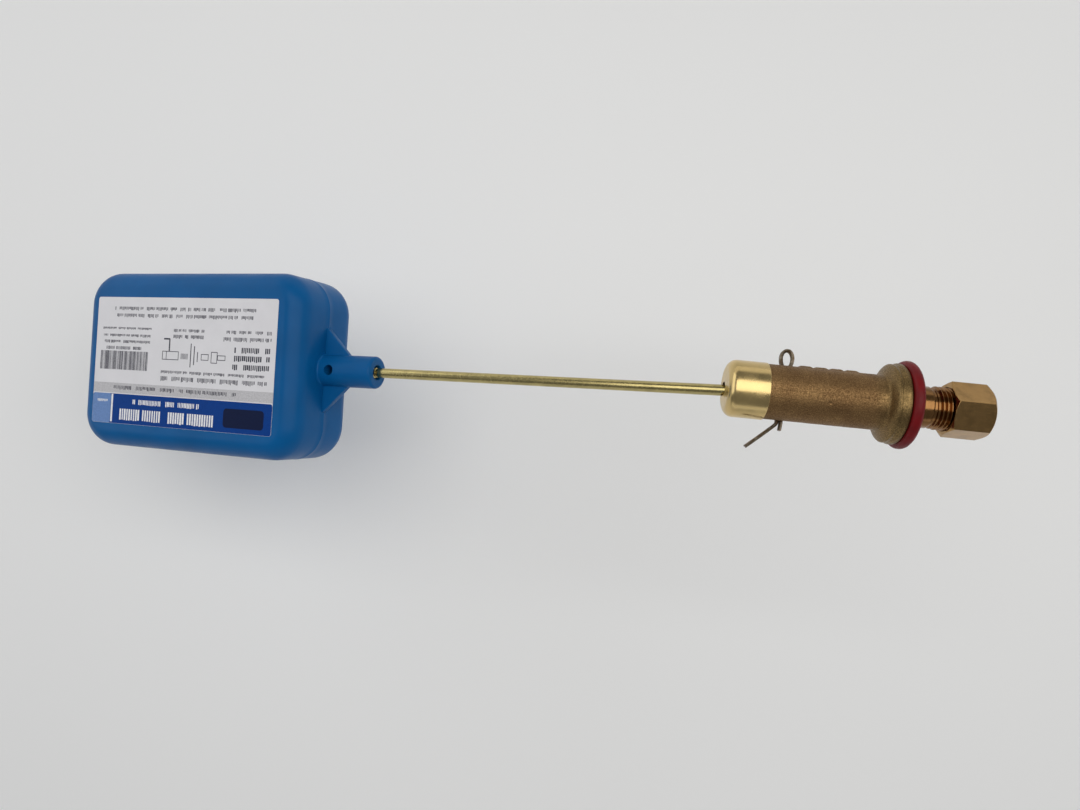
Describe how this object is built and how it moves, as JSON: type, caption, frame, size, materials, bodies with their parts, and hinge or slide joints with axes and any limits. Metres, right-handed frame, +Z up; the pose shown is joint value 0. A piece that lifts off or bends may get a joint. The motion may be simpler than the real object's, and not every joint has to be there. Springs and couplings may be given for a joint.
{
  "type": "float valve",
  "caption": "Brass float valve with a wall flange, a compression fitting and a plastic float on a swinging rod that shuts an inner plunger.",
  "frame": {"origin": "centre of the wall gasket's front face, on the valve's axis", "axes": "+X along the valve's axis, out through the wall to the supply tube; +Y along the cotter pin towards its eye; +Z up"},
  "size_m": [0.2703, 0.0604, 0.0981],
  "materials": {
    "cast_brass": "sand-cast, tumbled, dull golden brown",
    "machined_brass": "turned, bright",
    "polished_brass": "drawn and polished",
    "rod_brass": "drawn, fine lines along the rod",
    "pin_steel": "dull grey-brown",
    "red_rubber": "satin moulded rubber",
    "black_rubber": "matt moulded rubber",
    "blue_plastic": "moulded, satin, fine grain",
    "label_paper": "printed film, semi-gloss"
  },
  "bodies": {
    "valve": {"valve_body": "cast_brass", "orifice_seat": "machined_brass", "outlet_cap": "polished_brass", "cotter_pin": "pin_steel", "wall_gasket": "red_rubber"},
    "float_arm": {"lever_head": "machined_brass", "float_rod": "rod_brass", "float_upper_shell": "blue_plastic", "float_lower_shell": "blue_plastic", "float_label": "label_paper"},
    "plunger": {"plunger": "machined_brass", "seat_washer": "black_rubber"},
    "sleeve": {"compression_sleeve": "machined_brass"},
    "nut": {"compression_nut": "machined_brass"}
  },
  "joints": [
    {"name": "float_swing", "type": "hinge", "parent": "valve", "child": "float_arm", "pos_m": [-0.0315, 0, -0.0022], "axis": [0, 1, 0], "range_deg": [0, 14]},
    {"name": "plunger_slide", "type": "slide", "parent": "valve", "child": "plunger", "axis": [1, 0, 0], "range_m": [0, 0.00099]},
    {"name": "sleeve_slide", "type": "slide", "parent": "valve", "child": "sleeve", "axis": [1, 0, 0], "range_m": [0, 0.00424]},
    {"name": "nut_turn", "type": "hinge", "parent": "sleeve", "child": "nut", "pos_m": [0.014, 0, 0], "axis": [1, 0, 0], "range_deg": [0, 1440]}
  ],
  "couplings": [
    {"joint": "plunger_slide", "follows": "float_swing", "m_per_rad": 0.003964},
    {"joint": "sleeve_slide", "follows": "nut_turn", "m_per_rad": 0.00016844}
  ]
}
